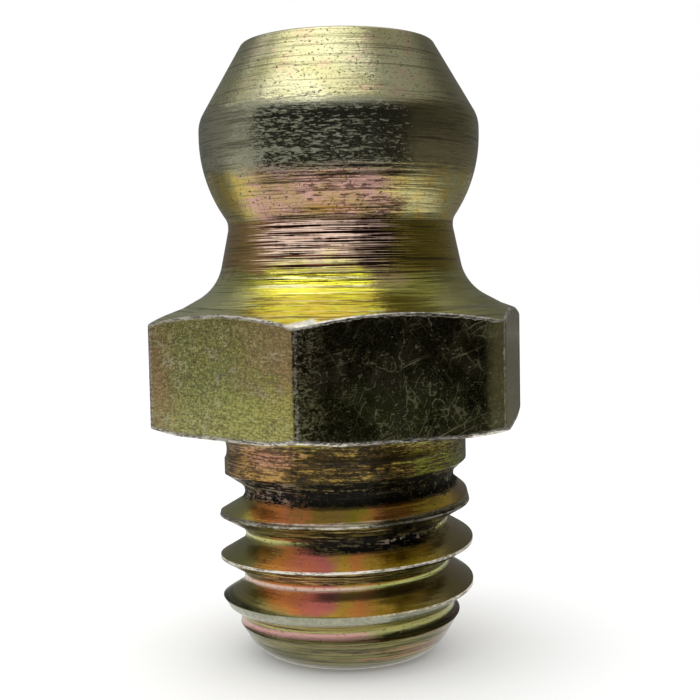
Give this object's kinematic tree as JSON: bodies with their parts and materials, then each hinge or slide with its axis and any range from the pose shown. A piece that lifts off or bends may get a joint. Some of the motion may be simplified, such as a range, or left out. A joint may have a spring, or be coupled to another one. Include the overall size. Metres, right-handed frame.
{
  "type": "grease nipple",
  "caption": "Straight grease nipple: conical coupler head, necked flare, hexagon and metric screw thread, with a sprung ball check valve in its through passage.",
  "frame": {"origin": "on the axis, in the plane of the hexagon's underside, where the fitting seats", "axes": "+Z along the axis, from the thread to the coupler head; +X is 18 degrees from a corner of the hexagon"},
  "size_m": [0.0088, 0.009, 0.0142],
  "materials": {
    "plated_steel": "yellow passivated zinc plate over turned steel, worn pale on the edges",
    "ball_steel": "polished bearing steel",
    "spring_steel": "drawn spring wire"
  },
  "bodies": {
    "nipple": {"body": "plated_steel", "spring": "spring_steel"},
    "ball": {"check_ball": "ball_steel"}
  },
  "joints": [
    {"name": "ball_lift", "type": "slide", "parent": "nipple", "child": "ball", "axis": [0, 0, -1], "range_m": [0, 0.0008], "stiffness_N_per_m": 1200, "springref_m": -0.001, "deforming": ["spring"]}
  ]
}
